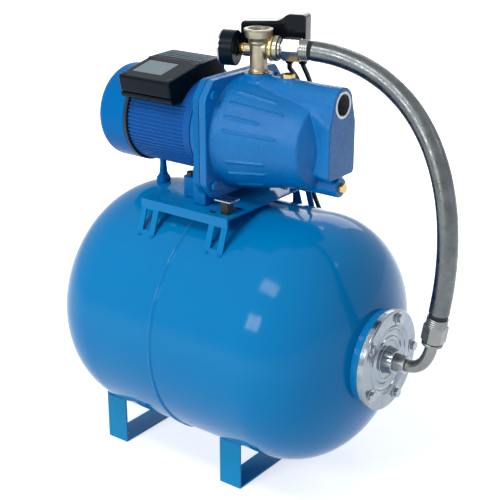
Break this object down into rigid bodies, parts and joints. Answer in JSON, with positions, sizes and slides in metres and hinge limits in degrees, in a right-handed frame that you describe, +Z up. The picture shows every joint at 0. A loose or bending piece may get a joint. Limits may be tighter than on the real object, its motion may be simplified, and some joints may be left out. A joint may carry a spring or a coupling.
{
  "type": "booster pump set",
  "caption": "Jet pump with electric motor on a horizontal pressure tank, with gauge, pressure switch and steel-braided hose.",
  "frame": {"origin": "on the floor, at the middle of the set's length and width (free cables left out)", "axes": "+X along the tank from the motor end to the suction port, +Z up, -Y the front"},
  "size_m": [0.6582, 0.5107, 0.7058],
  "materials": {
    "tank_blue": "gloss",
    "cast_blue": "satin over cast texture",
    "motor_blue": "satin",
    "slate_black": "satin",
    "zinc": "bright zinc plate",
    "brass": "machined",
    "nickel_bronze": "nickel-plated",
    "steel": "machined",
    "lamination": "varnished stack",
    "copper": "bare copper alloy",
    "rubber": "matt",
    "grey_plastic": "moulded",
    "ceramic": "smooth",
    "lens": "clear",
    "braid": "woven"
  },
  "bodies": {
    "set": {"air_valve": "rubber", "body_bolt_1": "zinc", "body_bolt_2": "zinc", "body_bolt_3": "zinc", "body_bolt_4": "zinc", "braided_hose": "braid", "diffuser": "grey_plastic", "drain_plug": "brass", "ejector_nozzle": "brass", "elbow_nut": "steel", "fan_cover": "cast_blue", "five_way_connector": "nickel_bronze", "flange_bolt_1": "zinc", "flange_bolt_2": "zinc", "flange_bolt_3": "zinc", "flange_bolt_4": "zinc", "flange_bolt_5": "zinc", "foot_bolt_back": "slate_black", "foot_bolt_front": "slate_black", "foot_buffer_back": "rubber", "foot_buffer_front": "rubber", "front_bearing": "steel", "gauge_case": "slate_black", "gauge_lens": "lens", "hose_elbow_fitting": "steel", "hose_upper_fitting": "steel", "mains_cable": "rubber", "mains_coil": "rubber", "mains_plug": "rubber", "motor_adapter": "cast_blue", "motor_cable": "rubber", "motor_end_shield": "slate_black", "motor_foot": "cast_blue", "motor_housing": "motor_blue", "priming_plug": "brass", "pump_body": "cast_blue", "pump_bracket": "tank_blue", "rear_bearing": "steel", "run_capacitor": "grey_plastic", "shaft_seal_seat": "ceramic", "switch_base": "slate_black", "switch_cover": "slate_black", "switch_diaphragm": "steel", "tank_bladder": "rubber", "tank_counterflange": "zinc", "tank_foot_front": "tank_blue", "tank_foot_rear": "tank_blue", "tank_front_shell": "tank_blue", "tank_rear_shell": "tank_blue", "terminal_box_base": "slate_black", "terminal_box_lid": "slate_black", "wound_stator": "lamination"},
    "rotor": {"cooling_fan": "slate_black", "impeller": "grey_plastic", "rotor_core": "lamination", "rotor_shaft": "steel", "shaft_seal_head": "steel"},
    "needle": {"gauge_pointer": "slate_black"},
    "plunger": {"switch_plunger": "brass"},
    "lever": {"switch_lever": "copper"}
  },
  "joints": [
    {"name": "rotor_spin", "type": "hinge", "parent": "set", "child": "rotor", "pos_m": [-0.05802, 0, 0.536], "axis": [1, 0, 0], "continuous": true},
    {"name": "needle_sweep", "type": "hinge", "parent": "set", "child": "needle", "pos_m": [-0.05333, -0.017, 0.6588], "axis": [0.9511, 0.309, 0], "range_deg": [0, 270]},
    {"name": "plunger_slide", "type": "slide", "parent": "set", "child": "plunger", "axis": [-0.309, 0.9511, 0], "range_m": [0, 0.0015]},
    {"name": "lever_swing", "type": "hinge", "parent": "set", "child": "lever", "pos_m": [-0.01354, 0.03852, 0.6788], "axis": [0.9511, 0.309, 0], "range_deg": [0, 5.06]}
  ],
  "couplings": [
    {"joint": "lever_swing", "follows": "plunger_slide", "rad_per_m": 58.824}
  ]
}
